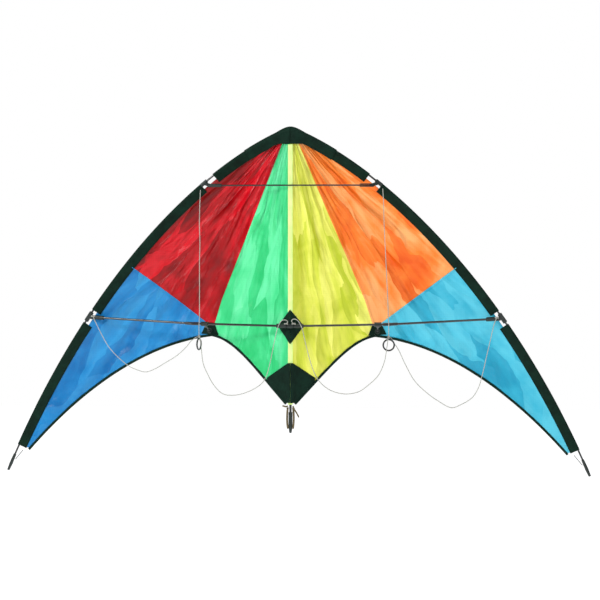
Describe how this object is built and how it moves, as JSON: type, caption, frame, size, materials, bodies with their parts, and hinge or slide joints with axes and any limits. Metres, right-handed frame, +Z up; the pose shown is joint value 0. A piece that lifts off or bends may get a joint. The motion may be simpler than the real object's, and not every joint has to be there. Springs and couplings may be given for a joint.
{
  "type": "delta kite",
  "caption": "Dual-line delta kite with folding wings on a spine, bowed leading edges, spreaders, stand-offs, a six-panel sail and a hanging three-leg bridle with a tow ring on each side.",
  "frame": {"origin": "the middle of the top edge of the nose, level with the middle of the spine, where the kite hangs", "axes": "+X to the right wing tip seen from the front, -Y to the front where the flyer stands, +Z up along the spine"},
  "size_m": [1.2484, 0.1319, 0.7309],
  "materials": {
    "ripstop_green": "satin woven nylon",
    "ripstop_yellow": "satin woven nylon",
    "ripstop_red": "satin woven nylon",
    "ripstop_orange": "satin woven nylon",
    "ripstop_blue": "satin woven nylon",
    "ripstop_cyan": "satin woven nylon",
    "black_trim": "woven",
    "spine_tape": "woven",
    "black_rod": "gloss fibreglass",
    "ferrule_tube": "anodised, satin",
    "moulded_fitting": "satin vinyl",
    "tow_ring": "gloss",
    "white_cord": "woven",
    "elastic_cord": "woven",
    "black_cord": "woven"
  },
  "bodies": {
    "root": {"spine": "black_rod", "spine_sleeve": "spine_tape", "nose_cap": "black_trim", "tee_hub": "moulded_fitting", "tail_cap": "moulded_fitting", "tail_cord": "elastic_cord"},
    "left_wing": {"upper_spreader": "black_rod", "left_spar": "black_rod", "left_nose_sleeve": "black_trim", "left_middle_sleeve": "black_trim", "left_tip_sleeve": "black_trim", "left_nose_flap": "black_trim", "left_upper_connector": "moulded_fitting", "left_lower_connector": "moulded_fitting", "left_spreader": "black_rod", "left_spreader_ferrule": "ferrule_tube", "left_tee_arm": "moulded_fitting", "left_inner_panel": "ripstop_green", "left_middle_panel": "ripstop_red", "left_outer_panel": "ripstop_blue", "left_edge_tape": "black_trim", "left_centre_patch": "black_trim", "left_keel_patch": "black_trim", "left_standoff_patch": "black_trim", "left_nock": "moulded_fitting", "left_tip_cord": "black_cord", "left_outer_leg": "white_cord", "left_inner_leg": "white_cord"},
    "right_wing": {"right_spar": "black_rod", "right_nose_sleeve": "black_trim", "right_middle_sleeve": "black_trim", "right_tip_sleeve": "black_trim", "right_nose_flap": "black_trim", "right_upper_connector": "moulded_fitting", "right_lower_connector": "moulded_fitting", "right_spreader": "black_rod", "right_spreader_ferrule": "ferrule_tube", "right_tee_arm": "moulded_fitting", "right_inner_panel": "ripstop_yellow", "right_middle_panel": "ripstop_orange", "right_outer_panel": "ripstop_cyan", "right_edge_tape": "black_trim", "right_centre_patch": "black_trim", "right_keel_patch": "black_trim", "right_standoff_patch": "black_trim", "right_nock": "moulded_fitting", "right_tip_cord": "black_cord", "right_outer_leg": "white_cord", "right_inner_leg": "white_cord"},
    "left_stand_off": {"left_standoff": "black_rod", "left_standoff_clip": "moulded_fitting", "left_standoff_foot": "moulded_fitting"},
    "right_stand_off": {"right_standoff": "black_rod", "right_standoff_clip": "moulded_fitting", "right_standoff_foot": "moulded_fitting"},
    "left_bridle": {"left_upper_leg": "white_cord"},
    "right_bridle": {"right_upper_leg": "white_cord"},
    "left_ring": {"left_tow_ring": "tow_ring"},
    "right_ring": {"right_tow_ring": "tow_ring"}
  },
  "joints": [
    {"name": "left_wing_fold", "type": "hinge", "parent": "root", "child": "left_wing", "pos_m": [-0.0065, 0.004, -0.3], "axis": [0, 0, -1], "range_deg": [0, 62]},
    {"name": "right_wing_fold", "type": "hinge", "parent": "root", "child": "right_wing", "pos_m": [0.0065, 0.004, -0.3], "axis": [0, 0, 1], "range_deg": [0, 62]},
    {"name": "left_standoff_turn", "type": "hinge", "parent": "left_wing", "child": "left_stand_off", "pos_m": [-0.18026, 0.00653, -0.40796], "axis": [-0.9953, 0.0955, 0.0176], "range_deg": [0, 70]},
    {"name": "right_standoff_turn", "type": "hinge", "parent": "right_wing", "child": "right_stand_off", "pos_m": [0.18026, 0.00653, -0.40796], "axis": [-0.9953, -0.0955, -0.0176], "range_deg": [0, 70]},
    {"name": "left_bridle_swing", "type": "hinge", "parent": "left_wing", "child": "left_bridle", "pos_m": [-0.188, 0.006, -0.128], "axis": [-1, 0, 0], "range_deg": [0, 25], "deforming": ["left_outer_leg", "left_inner_leg"]},
    {"name": "right_bridle_swing", "type": "hinge", "parent": "right_wing", "child": "right_bridle", "pos_m": [0.19, 0.006, -0.126], "axis": [-1, 0, 0], "range_deg": [0, 40], "deforming": ["right_outer_leg", "right_inner_leg"]},
    {"name": "left_ring_swing", "type": "hinge", "parent": "left_bridle", "child": "left_ring", "pos_m": [-0.191, 0.002, -0.4386], "axis": [0.2425, 0.9701, 0], "range_deg": [-60, 60]},
    {"name": "right_ring_swing", "type": "hinge", "parent": "right_bridle", "child": "right_ring", "pos_m": [0.203, 0.001, -0.4386], "axis": [0.9929, 0.1191, 0], "range_deg": [-60, 60]}
  ]
}
